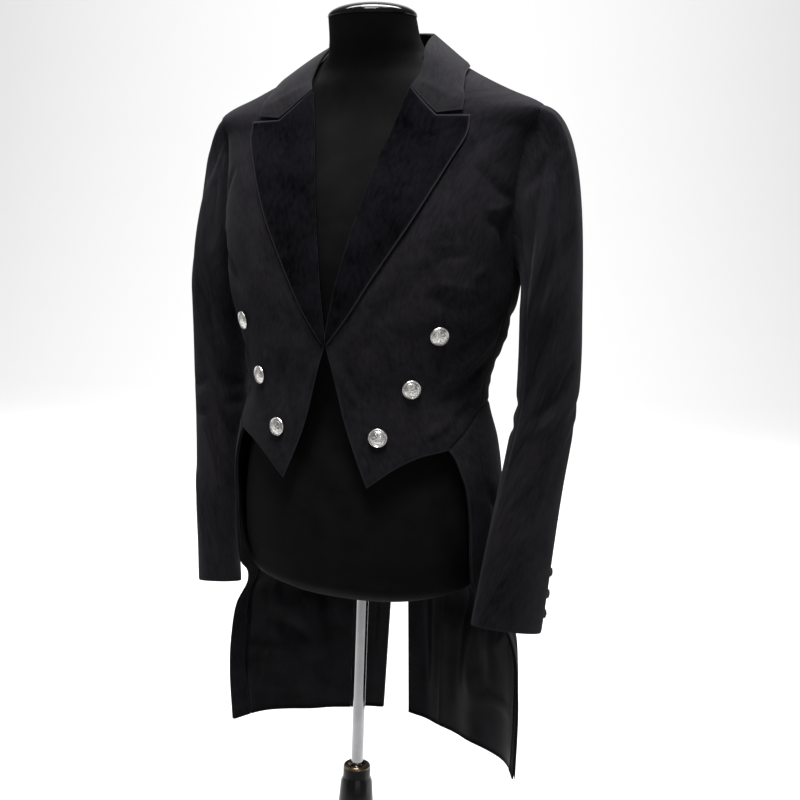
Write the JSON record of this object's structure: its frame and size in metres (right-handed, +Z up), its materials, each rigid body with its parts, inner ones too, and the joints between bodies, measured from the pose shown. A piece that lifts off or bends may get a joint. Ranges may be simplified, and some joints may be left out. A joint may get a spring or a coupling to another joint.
{
  "type": "double-breasted tailcoat on a dress form with a stand",
  "caption": "Black double-breasted tailcoat with velvet peak lapels and domed metal buttons, on a limbless dress form with a height-adjustable pole stand.",
  "frame": {"origin": "centre of the underside of the stand's round base, on the floor", "axes": "+Z up, the coat faces -Y, the wearer's left is +X"},
  "size_m": [0.561, 0.38, 1.5623],
  "materials": {
    "twill": "brushed black wool, matt",
    "velvet": "black velvet",
    "satin": "black satin lining",
    "pewter": "antique silver",
    "cover": "black jersey cover",
    "gloss": "gloss black",
    "chrome": "polished",
    "plastic": "satin black",
    "iron": "satin black paint"
  },
  "bodies": {
    "stand": {"stand_base": "iron", "stand_column": "plastic", "pole_clamp": "plastic"},
    "form": {"front_left": "twill", "side_body_left": "twill", "back_left": "twill", "tail_left": "twill", "tail_facing_left": "twill", "top_sleeve_left": "twill", "under_sleeve_left": "twill", "tail_lining_left": "satin", "back_lining_left": "satin", "lapel_left": "velvet", "front_button_left_1": "pewter", "cuff_button_left_1": "pewter", "front_button_left_2": "pewter", "cuff_button_left_2": "pewter", "front_button_left_3": "pewter", "cuff_button_left_3": "pewter", "front_right": "twill", "side_body_right": "twill", "back_right": "twill", "tail_right": "twill", "tail_facing_right": "twill", "top_sleeve_right": "twill", "under_sleeve_right": "twill", "tail_lining_right": "satin", "back_lining_right": "satin", "lapel_right": "velvet", "front_button_right_1": "pewter", "cuff_button_right_1": "pewter", "front_button_right_2": "pewter", "cuff_button_right_2": "pewter", "front_button_right_3": "pewter", "cuff_button_right_3": "pewter", "collar_leaf": "twill", "collar_stand": "twill", "form_torso": "cover", "neck_cap": "gloss", "pole": "chrome"}
  },
  "joints": [
    {"name": "height_slide", "type": "slide", "parent": "stand", "child": "form", "axis": [0, 0, 1], "range_m": [-0.25, 0.13]}
  ]
}
